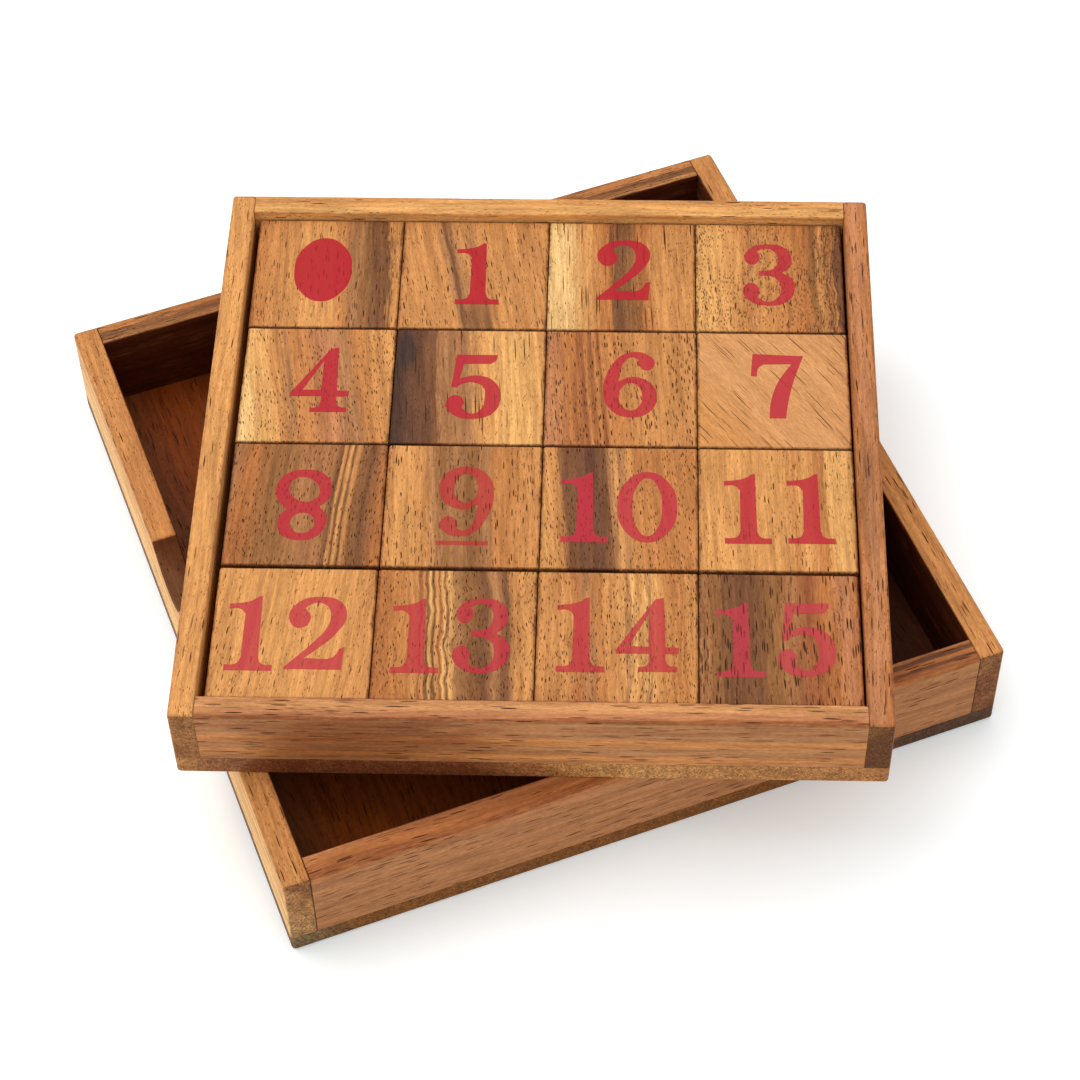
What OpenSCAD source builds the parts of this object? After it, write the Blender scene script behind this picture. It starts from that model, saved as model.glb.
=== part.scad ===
// Sliding tile puzzle in wood: numbered square tiles in a shallow tray, with a lid that slips over the tray.
// The lid lies on its back, open side up, and the tray rests turned a little across the lid's rim.
// The origin is the middle of the lid's underside. X runs across the lid, Y towards its back, Z up.

/* [Tray] */
// Outside width and depth of the tray
tray_side = 140; // [110:1:180]
// Outside height of the tray, its board included
tray_h = 19.1; // [15:0.1:30]
// Thickness of each of the tray's four rails
tray_rail_t = 5.1; // [3:0.1:8]
// Thickness of the tray's board
tray_board_t = 5; // [3:0.1:6]

/* [Tiles] */
// Room that the four tiles of a row leave between the tray's rails, all gaps added together
tile_play = 2.5; // [1:0.1:5]
// How far the tiles' tops lie below the top of the tray's rails
tile_recess = 2.1; // [0.5:0.1:4]
// Small chamfer along a tile's edges
tile_chamfer = 0.35; // [0.1:0.05:1]

/* [Lid] */
// Clearance between the tray and the inside of the lid, on each side
fit_gap = 1.25; // [0.5:0.05:3]
// Thickness of each of the lid's four rails
lid_rail_t = 5.5; // [3:0.1:9]
// Thickness of the lid's board
lid_board_t = 4.3; // [3:0.1:8]
// Room left above the tray inside the closed lid
lid_headroom = 0.1; // [0:0.1:3]

/* [Thumb notches] */
// Length of the notch along the rim of a side rail
notch_w = 20; // [10:1:40]
// Depth of the notch below the rim
notch_depth = 4.2; // [1:0.1:8]
// Place of the notch's middle, behind the middle of the rail
notch_y = 4.2; // [-20:0.1:20]

/* [Eased edges] */
// Radius of the upright outside corners of the tray and the lid
corner_r = 0.8; // [0.3:0.1:4]
// Radius along the outside edges of the rims and of the boards' undersides
edge_r = 0.5; // [0.2:0.1:2]
// Chamfer along the inside edges of the rims
inner_chamfer = 0.3; // [0.1:0.05:1]

/* [Resting place] */
// Turn of the tray on the lid, in degrees seen from above
tray_turn = -22.4; // [-45:0.1:45]
// Place of the tray's middle, to the right of the lid's middle
tray_x = 3.3; // [-10:0.1:10]
// Place of the tray's middle, behind the lid's middle
tray_y = -5.5; // [-10:0.1:10]

/* [Hidden] */
$fn = 48;
// Cutting tools run past the wood by this much
over = 1;

// Tiles in one row, and rows in the tray
row_count = 4;
tile_count = row_count * row_count;

// Sizes that follow from the driving ones
tray_inside = tray_side - 2 * tray_rail_t;
tray_rail_h = tray_h - tray_board_t;
tile_side = (tray_inside - tile_play) / row_count;
tile_h = tray_rail_h - tile_recess;
lid_inside = tray_side + 2 * fit_gap;
lid_side = lid_inside + 2 * lid_rail_t;
lid_rail_h = tray_h + lid_headroom;
lid_h = lid_board_t + lid_rail_h;
notch_r = (pow(notch_w / 2, 2) + pow(notch_depth, 2)) / (2 * notch_depth);

// Shares of the play that lie left of a row, between its tiles and right of it
play_across = [0.56, 0.09, 0.08, 0.07, 0.20];
// Shares of the play that lie behind the tiles, between the rows and in front of them
play_deep = [0.07, 0.11, 0.12, 0.26, 0.44];
// Each row is pushed a little further left (-) or right (+), as a share of the play
row_slip = [-0.04, 0.02, 0.05, 0.00];

// Wood colours: the side, front and back rails, the boards, and the tiles from the dot to fifteen
rail_woods = ["#dfa666", "#b4754a", "#c98a5c", "#d89b56"];
lid_rail_woods = ["#e8bd80", "#c8874f", "#ab7450", "#9c6440"];
tray_board_wood = "#8a5e3e";
lid_board_wood = "#6b4028";
tile_woods = [
    "#cf9c5d", "#d59a5a", "#c9a070", "#b98252",
    "#cd9a63", "#a9805c", "#c98e52", "#d3a56c",
    "#b08a5e", "#c1935f", "#a87a52", "#d79c55",
    "#d2a067", "#b9864f", "#c8975a", "#a06f45"
];

// The sides of a box, in the order of the colours above
LEFT = 0;
RIGHT = 1;
FRONT = 2;
BACK = 3;

// Name of tile k: the dot tile comes first, then the numbered ones
function tile_name(k) = k == 0 ? "tile_dot" : str("tile_", k);

// Sum of the first n entries of a list
function sum_to(list, n) = n <= 0 ? 0 : list[n - 1] + sum_to(list, n - 1);

// Middle of tile k on the tray, with the first row at the back
function tile_x(k) = -tray_inside / 2 + (k % row_count + 0.5) * tile_side
    + tile_play * (sum_to(play_across, k % row_count + 1) + row_slip[floor(k / row_count)]);
function tile_y(k) = tray_inside / 2 - (floor(k / row_count) + 0.5) * tile_side
    - tile_play * sum_to(play_deep, floor(k / row_count) + 1);

// Square outline about the origin, with round corners
module round_square(side, r) {
    square([side - 2 * r, side], center = true);
    square([side, side - 2 * r], center = true);
    for (sx = [-1, 1], sy = [-1, 1])
        translate([sx * (side / 2 - r), sy * (side / 2 - r)])
            circle(r);
}

// What a rounding plane takes off the corner of an outline: the corner points to +X +Y
module corner_waste(r) {
    difference() {
        translate([-r, -r]) square(r + over);
        translate([-r, -r]) circle(r);
    }
}

// Upright outline of a box side, standing on the origin, with its top or its bottom corners rounded
module side_outline(side, h, r, round_top) {
    difference() {
        translate([-side / 2, 0]) square([side, h]);
        for (s = [0, 1])
            mirror([s, 0])
                translate([side / 2, round_top ? h : 0])
                    mirror([0, round_top ? 0 : 1])
                        corner_waste(r);
    }
}

// Solid block with the outside shape of a box, eased at its upright corners and at one rim
module eased_block(side, h, round_top) {
    intersection() {
        linear_extrude(height = h) round_square(side, corner_r);
        translate([0, side / 2, 0]) rotate([90, 0, 0])
            linear_extrude(height = side) side_outline(side, h, edge_r, round_top);
        translate([-side / 2, 0, 0]) rotate([90, 0, 90])
            linear_extrude(height = side) side_outline(side, h, edge_r, round_top);
    }
}

// Turns what is drawn on the left side of a box to another side, mirrored where the side is opposite
module on_side(which) {
    if (which == LEFT) children();
    if (which == RIGHT) mirror([1, 0, 0]) children();
    if (which == FRONT) rotate(90) children();
    if (which == BACK) rotate(-90) children();
}

// Strip along the left side of a box, from which a rail is cut
module rail_strip(side, t, h, length) {
    translate([-side / 2, -length / 2, 0]) cube([t, length, h]);
}

// Waste of the chamfer along the inside top edge of a rail on the left side of a box
module inner_chamfer_waste(side, t, h, length) {
    translate([-side / 2 + t, length / 2 + over, h]) rotate([90, 0, 0])
        linear_extrude(height = length + 2 * over)
            polygon([[-inner_chamfer, over], [-inner_chamfer, 0], [0, -inner_chamfer], [over, -inner_chamfer],
                     [over, over]]);
}

// One rail of a box. The left and right rails run the whole depth, and the others fit between them.
module rail(side, t, h, which) {
    whole = which == LEFT || which == RIGHT;
    length = whole ? side : side - 2 * t;
    difference() {
        intersection() {
            eased_block(side, h, true);
            on_side(which) rail_strip(side, t, h, length);
        }
        on_side(which) inner_chamfer_waste(side, t, h, whole ? side - 2 * t : length);
    }
}

// Board under the rails of a box, flush with their outside
module board(side, t) {
    eased_block(side, t, false);
}

// Thumb notch cut into the rim of a side rail of the lid, as a drum along X
module notch_waste() {
    translate([0, notch_y, lid_rail_h + notch_r - notch_depth]) rotate([0, 90, 0])
        cylinder(h = lid_side + 2 * over, r = notch_r, center = true);
}

// The lid's rails stand on its board
module on_lid_board() {
    translate([0, 0, lid_board_t]) children();
}

// The tray rests on the lid's rim, turned and a little off the middle
module on_lid_rim() {
    translate([tray_x, tray_y, lid_h]) rotate(tray_turn) children();
}

// The tray's rails and the tiles stand on the tray's board
module on_tray_board() {
    on_lid_rim() translate([0, 0, tray_board_t]) children();
}

module lid_board() {
    color(lid_board_wood) board(lid_side, lid_board_t);
}

module lid_rail(which) {
    color(lid_rail_woods[which]) on_lid_board()
        difference() {
            rail(lid_side, lid_rail_t, lid_rail_h, which);
            if (which == LEFT || which == RIGHT) notch_waste();
        }
}

module tray_board() {
    color(tray_board_wood) on_lid_rim() board(tray_side, tray_board_t);
}

module tray_rail(which) {
    color(rail_woods[which]) on_tray_board() rail(tray_side, tray_rail_t, tray_rail_h, which);
}

// Outline of a tile with small chamfered corners
module tile_outline(side, h, c) {
    polygon([[-side / 2, c], [-side / 2 + c, 0], [side / 2 - c, 0], [side / 2, c],
             [side / 2, h - c], [side / 2 - c, h], [-side / 2 + c, h], [-side / 2, h - c]]);
}

// Tile k on the tray's board, chamfered along every edge
module tile(k) {
    color(tile_woods[k]) on_tray_board() translate([tile_x(k), tile_y(k), 0])
        intersection() {
            translate([0, -tile_side / 2, 0])
                linear_extrude(height = tile_h) tile_outline(tile_side, tile_side, tile_chamfer);
            translate([0, tile_side / 2, 0]) rotate([90, 0, 0])
                linear_extrude(height = tile_side) tile_outline(tile_side, tile_h, tile_chamfer);
            translate([-tile_side / 2, 0, 0]) rotate([90, 0, 90])
                linear_extrude(height = tile_side) tile_outline(tile_side, tile_h, tile_chamfer);
        }
}

lid_board();
lid_rail(LEFT);  // lid_left_rail
lid_rail(RIGHT);  // lid_right_rail
lid_rail(FRONT);  // lid_front_rail
lid_rail(BACK);  // lid_back_rail
tray_board();
tray_rail(LEFT);  // tray_left_rail
tray_rail(RIGHT);  // tray_right_rail
tray_rail(FRONT);  // tray_front_rail
tray_rail(BACK);  // tray_back_rail
for (k = [0 : tile_count - 1]) tile(k);
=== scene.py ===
# %% [markdown]
# # A wooden sliding tile puzzle
# Sixteen loose tiles lie in a shallow tray, and the tray rests turned on its own lid, which lies open
# side up. This lesson dresses the fixed frame of such a puzzle in Blender: every wooden piece is made
# again with hand-eased edges and gets its own plank of wood, and the numerals are printed on top.

# %% Load the frame
import math
import bpy
from mathutils import Matrix, Vector, noise


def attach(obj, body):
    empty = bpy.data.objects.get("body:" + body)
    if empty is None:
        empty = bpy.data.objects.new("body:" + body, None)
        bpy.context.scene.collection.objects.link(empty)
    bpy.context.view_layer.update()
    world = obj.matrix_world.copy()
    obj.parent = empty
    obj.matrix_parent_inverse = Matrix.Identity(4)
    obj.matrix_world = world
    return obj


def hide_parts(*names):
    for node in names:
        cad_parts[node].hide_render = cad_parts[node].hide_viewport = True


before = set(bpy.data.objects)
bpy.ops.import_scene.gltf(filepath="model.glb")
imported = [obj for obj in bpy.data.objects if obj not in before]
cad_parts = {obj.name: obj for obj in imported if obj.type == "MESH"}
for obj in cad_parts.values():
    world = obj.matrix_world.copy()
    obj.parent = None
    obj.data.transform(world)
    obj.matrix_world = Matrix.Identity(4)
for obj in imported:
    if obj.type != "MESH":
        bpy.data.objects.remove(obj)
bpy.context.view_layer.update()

# %% [markdown]
# ## The camera
# It stands in front of the puzzle and a little to the left, and looks down at it at about fifty
# degrees. A long lens keeps the square sides nearly parallel. It is placed by what it looks at, how far
# away it is and from which side, because those are easier to think about than three coordinates.

# %% Set the camera
AIM = Vector((0.0001, -0.0130, 0.0200))
CAMERA_DISTANCE = 0.6115
CAMERA_YAW = math.radians(-19.77)
CAMERA_PITCH = math.radians(-52.10)
CAMERA_ROLL = math.radians(-1.33)

forward = Vector((-math.sin(CAMERA_YAW) * math.cos(CAMERA_PITCH),
                  math.cos(CAMERA_YAW) * math.cos(CAMERA_PITCH),
                  math.sin(CAMERA_PITCH)))
level_right = Vector((math.cos(CAMERA_YAW), math.sin(CAMERA_YAW), 0.0))
level_up = level_right.cross(forward)
right = math.cos(CAMERA_ROLL) * level_right + math.sin(CAMERA_ROLL) * level_up
up = math.cos(CAMERA_ROLL) * level_up - math.sin(CAMERA_ROLL) * level_right

lens = bpy.data.cameras.new("camera")
lens.lens = 96.71
lens.sensor_width = 36.0
lens.clip_start = 0.02
camera = bpy.data.objects.new("camera", lens)
camera.matrix_world = Matrix.Translation(AIM - CAMERA_DISTANCE * forward) @ Matrix((
    (right.x, up.x, -forward.x, 0.0),
    (right.y, up.y, -forward.y, 0.0),
    (right.z, up.z, -forward.z, 0.0),
    (0.0, 0.0, 0.0, 1.0)))
bpy.context.scene.collection.objects.link(camera)
bpy.context.scene.camera = camera
print("camera at", [round(c, 4) for c in camera.matrix_world.translation])

# %% [markdown]
# ## Where each wooden piece lies
# A piece of wood is easiest to make and to paint when its own Y axis runs along the grain. Each frame
# node is measured in a turned set of axes: the turn is read from where its upright faces point, and then
# a quarter turn is added where the grain runs the other way. Four times the angle is averaged, because
# then all four sides of a square agree. The rails all get their outer side on their own -X.

# %% Measure the frame's nodes
MM = 0.001


def level_turn(node):
    """Turn of a node about Z, from -45 to 45 degrees, read from its upright faces."""
    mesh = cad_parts[node].data
    east = 0.0
    north = 0.0
    for face in mesh.polygons:
        if abs(face.normal.z) < 0.01:
            angle = 4 * math.atan2(face.normal.y, face.normal.x)
            east += face.area * math.cos(angle)
            north += face.area * math.sin(angle)
    return math.atan2(north, east) / 4


def measure(node, quarters=0):
    """Middle, turn and size (in mm) of a node, with its Y axis turned by some quarter turns."""
    turn = level_turn(node) + quarters * math.pi / 2
    back = Matrix.Rotation(-turn, 3, "Z")
    points = [back @ v.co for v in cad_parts[node].data.vertices]
    low = Vector([min(p[i] for p in points) for i in range(3)])
    high = Vector([max(p[i] for p in points) for i in range(3)])
    middle = Matrix.Rotation(turn, 3, "Z") @ ((low + high) / 2)
    return middle, turn, (high - low) / MM


for name in ("lid_board", "tray_board", "tile_1"):
    middle, turn, size = measure(name)
    print(name, "turned", round(math.degrees(turn), 2), "size", [round(s, 2) for s in size])

# %% [markdown]
# ## A block of wood with eased edges
# Sawn wood is never left with knife edges: they are broken with sandpaper, a little unevenly. A bevel
# modifier could do this, but here some edges are rounded by 0.8 mm and others by a tenth, and a thumb
# notch has to bend the top. So the block is swept: an outline with four round corners is drawn at many
# stations along the grain, and near the two ends it draws in along a quarter circle. Smooth noise
# changes the radii a little from place to place, as a hand does. Each point also carries a number that
# tells the paint how near it is to an edge, where the paint darkens it, and a high one in the notch, where
# the paint lays painted shade from the tray that lies over it.

# %% Stations along a block
ARC_STEPS = 4
SAME_PLACE = 0.012


def stations(length, radii, pitch, fine=()):
    """Places along a block: close together at its rounded ends and between pairs of fine limits."""
    half = length / 2
    places = set()
    for radius in radii:
        for step in range(ARC_STEPS + 1):
            gap = radius * (1 - math.cos(step * math.pi / 2 / ARC_STEPS))
            places.add(round(half - gap, 4))
            places.add(round(gap - half, 4))
    inner = half - max(radii) - 0.3
    count = max(2, round(2 * inner / pitch))
    for step in range(count + 1):
        places.add(round(-inner + 2 * inner * step / count, 4))
    for low, high, gap in fine:
        for step in range(round((high - low) / gap) + 1):
            places.add(round(low + gap * step, 4))
    kept = []
    for y in sorted(places):
        if not kept or y - kept[-1] > SAME_PLACE:
            kept.append(y)
    kept[-1] = half
    return kept


print("stations of a tile:", len(stations(31.8, (0.45,), 1.6)))

# %% [markdown]
# With the stations known, the sweep itself is short. At every station the four sides are drawn in as far
# as the rounded ends ask for, the outline is made, and each ring is joined to the next with quads. The
# paint's number is 1 on a rounded edge, a little less at the ends, and 3.5 on the floor of the notch,
# which the paint turns into painted shade.

# %% Sweep of the block
EDGE_FOOT = 0.4
END_EDGE_DARKENING = 0.8
# The notch's floor gets this number for painted shade of the tray that lies over the notch.
NOTCH_SHADE = 3.5
NOTCH_SKIN = 0.4
WAVE = 7.0


def drawn_in(gap, radius):
    """How far a side has drawn in where it is this near to a rounded end."""
    if gap >= radius:
        return 0.0
    return radius - math.sqrt(max(0.0, radius ** 2 - (radius - gap) ** 2))


def outline(low_x, high_x, low_z, high_z, radii, counts):
    """Closed outline with four round corners, and for each point 1 on a corner and 0 on a flat."""
    corners = ((low_x, low_z, 1, 1, math.pi), (high_x, low_z, -1, 1, 1.5 * math.pi),
               (high_x, high_z, -1, -1, 0.0), (low_x, high_z, 1, -1, 0.5 * math.pi))
    rounds = []
    for (x, z, sx, sz, start), radius in zip(corners, radii):
        arc = []
        for step in range(ARC_STEPS + 1):
            angle = start + step * math.pi / 2 / ARC_STEPS
            arc.append((x + radius * (sx + math.cos(angle)), z + radius * (sz + math.sin(angle))))
        rounds.append(arc)
    points = []
    edge = []
    for side in range(4):
        points += rounds[side]
        edge += [EDGE_FOOT] + [1.0] * (ARC_STEPS - 1) + [EDGE_FOOT]
        x0, z0 = rounds[side][-1]
        x1, z1 = rounds[(side + 1) % 4][0]
        reach = math.hypot(x1 - x0, z1 - z0)
        shy = min(0.2, reach / 6) / max(reach, 1e-6)
        for step in range(counts[side % 2] + 1):
            t = shy + (1 - 2 * shy) * step / counts[side % 2]
            points.append((x0 + (x1 - x0) * t, z0 + (z1 - z0) * t))
            edge.append(0.0)
    return points, edge


def block(name, size, radii, side_ends, foot_end, rim_end, seed, pitch=2.5, uneven=0.25, top=None,
          fine=()):
    """Mesh of an eased block, in mm about its middle. radii: feet at -X and +X, rims at +X and -X."""
    low = -size / 2
    high = size / 2
    counts = (max(2, round(size.x / pitch)), max(2, round(size.z / pitch)))
    places = stations(size.y, {*side_ends, foot_end, rim_end}, pitch, fine)
    vertices = []
    edges = []
    for y in places:
        gap = size.y / 2 - abs(y)
        left = drawn_in(gap, side_ends[0])
        across = drawn_in(gap, side_ends[1])
        foot = drawn_in(gap, foot_end)
        rim = drawn_in(gap, rim_end)
        ceiling = high.z if top is None else top(y, high.z)
        waves = [noise.noise(Vector((y / WAVE, 9.0 * k, seed))) for k in range(len(radii))]
        wavy = [radius * (1 + uneven * wave) for radius, wave in zip(radii, waves)]
        points, edge = outline(low.x + left, high.x - across, low.z + foot, ceiling - rim, wavy, counts)
        at_end = END_EDGE_DARKENING if gap < 0.7 * max(side_ends) else 0.0
        vertices += [(x, y, z) for x, z in points]
        edges += [max(e, at_end) for e in edge]
        # On the floor of a notch the number is raised for painted shade of the tray above it.
        if ceiling < high.z - 0.3:
            for k, (x, z) in enumerate(points):
                if z > ceiling - NOTCH_SKIN:
                    edges[k - len(points)] = NOTCH_SHADE
    ring = len(points)
    faces = []
    for row in range(len(places) - 1):
        for k in range(ring):
            a = row * ring + k
            b = row * ring + (k + 1) % ring
            faces.append((a, a + ring, b + ring, b))
    faces.append(tuple(range(ring)))
    faces.append(tuple(reversed(range((len(places) - 1) * ring, len(places) * ring))))
    mesh = bpy.data.meshes.new(name)
    mesh.from_pydata([(x * MM, y * MM, z * MM) for x, y, z in vertices], [], faces)
    mesh.attributes.new("edge", "FLOAT", "POINT").data.foreach_set("value", edges)
    mesh.validate()
    mesh.shade_smooth()
    return mesh


def place(name, mesh, node, body, middle, turn, material):
    """Put a finished mesh where its frame node is, and let it stand for that node."""
    piece = bpy.data.objects.new(name, mesh)
    piece.location = middle
    piece.rotation_euler = (0.0, 0.0, turn)
    bpy.context.scene.collection.objects.link(piece)
    shading = piece.modifiers.new("flat faces stay flat", "WEIGHTED_NORMAL")
    shading.weight = 80
    mesh.materials.append(material)
    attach(piece, body)
    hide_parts(node)


# %% [markdown]
# ## Helpers for shader nodes
# A wood material has some thirty nodes. A few small functions keep their making readable: one adds a
# node and fills its sockets, others do sums, blends and ranges, one starts a node group with named
# inputs and outputs, and the last one places such a group in a tree.

# %% Node helpers


def fill(tree, node, sockets):
    """Put values or links into a node's input sockets."""
    for key, value in sockets.items():
        if isinstance(value, bpy.types.NodeSocket):
            tree.links.new(value, node.inputs[key])
        else:
            node.inputs[key].default_value = value


def add(tree, kind, sockets=None, **settings):
    """New node with its settings, and with its input sockets filled."""
    node = tree.nodes.new(kind)
    for key, value in settings.items():
        setattr(node, key, value)
    fill(tree, node, sockets or {})
    return node


def sums(tree, operation, a, b=0.0, clamp=False):
    """Result of a sum on two values or sockets."""
    return add(tree, "ShaderNodeMath", {0: a, 1: b}, operation=operation, use_clamp=clamp).outputs[0]


def blend(tree, share, a, b, kind="MIX"):
    """Colour between a and b, by a share from 0 to 1."""
    mix = add(tree, "ShaderNodeMix", {0: share, 6: a, 7: b}, data_type="RGBA", blend_type=kind)
    return mix.outputs[2]


def spread(tree, value, low, high, out_low, out_high):
    """Value moved smoothly from one range to another, and held inside it."""
    node = add(tree, "ShaderNodeMapRange", {0: value, 1: low, 2: high, 3: out_low, 4: out_high},
               interpolation_type="SMOOTHSTEP")
    return node.outputs[0]


def stretched(tree, vector, amounts):
    """Coordinates multiplied by three amounts."""
    return add(tree, "ShaderNodeVectorMath", {0: vector, 1: amounts}, operation="MULTIPLY").outputs[0]


def new_group(name, inputs, outputs):
    """Node group with inputs given as (name, kind, value) and outputs as (name, kind)."""
    tree = bpy.data.node_groups.new(name, "ShaderNodeTree")
    for label, kind, value in inputs:
        socket = tree.interface.new_socket(label, in_out="INPUT", socket_type="NodeSocket" + kind)
        if value is not None:
            socket.default_value = value
    for label, kind in outputs:
        tree.interface.new_socket(label, in_out="OUTPUT", socket_type="NodeSocket" + kind)
    entry = tree.nodes.new("NodeGroupInput")
    leave = tree.nodes.new("NodeGroupOutput")
    return tree, entry.outputs, leave.inputs


def use(tree, group, sockets):
    """Place a group in a tree, and hand back its outputs."""
    node = tree.nodes.new("ShaderNodeGroup")
    node.node_tree = group
    fill(tree, node, sockets)
    return node.outputs


# %% [markdown]
# ## The grain's own space
# In a tree everything runs along the trunk: streaks, fibres and the long pores. The first group turns a
# piece's coordinates until Y runs along the fibres, in mm, and lets the fibres wander and curl a little.
# Every later pattern is drawn in this space, so that streaks and pores bend together.

# %% Group: grain space
grain_space, ins, outs = new_group(
    "grain_space",
    [("Place", "Vector", None), ("Turn", "Float", 0.0), ("Wander", "Float", 0.8), ("Curl", "Float", 0.0),
     ("Seed", "Float", 0.0)],
    [("Grain", "Vector")])
t = grain_space
in_mm = add(t, "ShaderNodeVectorMath", {0: ins["Place"], "Scale": 1 / MM}, operation="SCALE").outputs[0]
turned = add(t, "ShaderNodeVectorRotate", {"Vector": in_mm, "Angle": ins["Turn"]},
             rotation_type="Z_AXIS").outputs[0]
apart = add(t, "ShaderNodeCombineXYZ", {0: sums(t, "MULTIPLY", ins["Seed"], 37.7),
                                        1: sums(t, "MULTIPLY", ins["Seed"], 71.3),
                                        2: sums(t, "MULTIPLY", ins["Seed"], 19.1)}).outputs[0]
moved = add(t, "ShaderNodeVectorMath", {0: turned, 1: apart}, operation="ADD").outputs[0]
slow = add(t, "ShaderNodeTexNoise", {"Vector": stretched(t, moved, (0.05, 0.022, 0.05)), "Scale": 1.0,
                                     "Detail": 1.0})
quick = add(t, "ShaderNodeTexNoise", {"Vector": stretched(t, moved, (0.10, 0.17, 0.10)), "Scale": 1.0,
                                      "Detail": 1.0})
sway = sums(t, "MULTIPLY", sums(t, "SUBTRACT", slow.outputs["Fac"], 0.5),
            sums(t, "MULTIPLY", ins["Wander"], 6.0))
curl = sums(t, "MULTIPLY", sums(t, "SUBTRACT", quick.outputs["Fac"], 0.5),
            sums(t, "MULTIPLY", ins["Curl"], 4.0))
parts = add(t, "ShaderNodeSeparateXYZ", {0: turned}).outputs
swung = sums(t, "ADD", sums(t, "ADD", parts[0], sway), curl)
bent = add(t, "ShaderNodeCombineXYZ", {0: swung, 1: parts[1], 2: parts[2]})
t.links.new(bent.outputs[0], outs["Grain"])
print("group", t.name, "has", len(t.nodes), "nodes")

# %% [markdown]
# ## Fibres and pores
# Two things make a tropical hardwood such as monkey pod look real from near by. Its colour is broken
# into fine lengthwise fibres, and its pores are so coarse that a saw opens them as short dark dashes,
# one to four millimetres long. The fibres are three noises, stretched seven to twenty times along the
# grain: a broad one for the shade, a fine one for the grit, and one that feathers the streaks' borders.

# %% Group: fibres
fibres, ins, outs = new_group("fibres", [("Grain", "Vector", None), ("Seed", "Float", 0.0)],
                              [("Broad", "Float"), ("Fine", "Float"), ("Feather", "Float")])
t = fibres
offset = add(t, "ShaderNodeCombineXYZ", {1: sums(t, "MULTIPLY", ins["Seed"], 53.0)}).outputs[0]
far = add(t, "ShaderNodeVectorMath", {0: ins["Grain"], 1: offset}, operation="ADD").outputs[0]
broad = add(t, "ShaderNodeTexNoise", {"Vector": stretched(t, far, (0.9, 0.045, 0.9)), "Scale": 1.0,
                                      "Detail": 4.0, "Roughness": 0.68})
fine = add(t, "ShaderNodeTexNoise", {"Vector": stretched(t, far, (5.6, 0.8, 5.6)), "Scale": 1.0,
                                     "Detail": 3.0, "Roughness": 0.7})
feather = add(t, "ShaderNodeTexNoise", {"Vector": stretched(t, far, (2.1, 0.11, 2.1)), "Scale": 1.0,
                                        "Detail": 4.0, "Roughness": 0.72})
t.links.new(spread(t, broad.outputs["Fac"], 0.28, 0.72, 0.0, 1.0), outs["Broad"])
t.links.new(spread(t, fine.outputs["Fac"], 0.30, 0.70, 0.0, 1.0), outs["Fine"])
t.links.new(sums(t, "SUBTRACT", feather.outputs["Fac"], 0.5), outs["Feather"])

# %% [markdown]
# The pores are stretched Voronoi cells: each cell holds one point, and near that point is the pore. Cut
# along the grain it shows as a dash, and at the end of a board as a dot, with nothing extra to do. A
# cell's own random colour decides whether it has a pore at all, and how deep it is.

# %% Group: pores
pores, ins, outs = new_group(
    "pores",
    [("Grain", "Vector", None), ("Across", "Float", 2.0), ("Along", "Float", 0.3),
     ("Width", "Float", 0.3), ("Share", "Float", 0.5), ("Seed", "Float", 0.0)],
    [("Mask", "Float")])
t = pores
pace = add(t, "ShaderNodeCombineXYZ", {0: ins["Across"], 1: ins["Along"], 2: ins["Across"]}).outputs[0]
offset = add(t, "ShaderNodeCombineXYZ", {0: sums(t, "MULTIPLY", ins["Seed"], 11.3),
                                         1: sums(t, "MULTIPLY", ins["Seed"], 5.7)}).outputs[0]
paced = add(t, "ShaderNodeVectorMath", {0: ins["Grain"], 1: pace}, operation="MULTIPLY").outputs[0]
cells = add(t, "ShaderNodeTexVoronoi",
            {"Vector": add(t, "ShaderNodeVectorMath", {0: paced, 1: offset}, operation="ADD").outputs[0],
             "Scale": 1.0, "Randomness": 1.0}, feature="F1")
draw = add(t, "ShaderNodeSeparateColor", {0: cells.outputs["Color"]}).outputs
crowd = add(t, "ShaderNodeTexNoise", {"Vector": stretched(t, ins["Grain"], (0.16, 0.035, 0.16)),
                                      "Scale": 1.0, "Detail": 1.0})
share = sums(t, "MULTIPLY", ins["Share"], spread(t, crowd.outputs["Fac"], 0.3, 0.7, 0.3, 1.7))
there = sums(t, "LESS_THAN", draw[0], share)
spot = spread(t, sums(t, "DIVIDE", cells.outputs["Distance"], ins["Width"]), 0.65, 1.0, 1.0, 0.0)
depth = spread(t, draw[1], 0.0, 1.0, 0.6, 1.0)
t.links.new(sums(t, "MULTIPLY", sums(t, "MULTIPLY", spot, there), depth), outs["Mask"])
print("groups", fibres.name, "and", pores.name, "are made")

# %% [markdown]
# ## End grain, darkened edges, painted shade and stains
# The end of a board drinks more oil, so it is darker, and pale lines cross on it in two slants. Eased
# edges are darkened by a near-black brown: grime from hands, and on the tiles, where it is stronger,
# partly painted shade of the gaps between them. The mesh carries how near each point is to an eased
# edge, and noise breaks that line up; on the notch's floor it carries a higher number, for painted shade
# of the tray above it. Stains are dark patches that cross the streaks, soft ovals with a ragged
# outline: heartwood, and as painted shade, the inner faces of the lid, which are painted nearly black.

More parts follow.
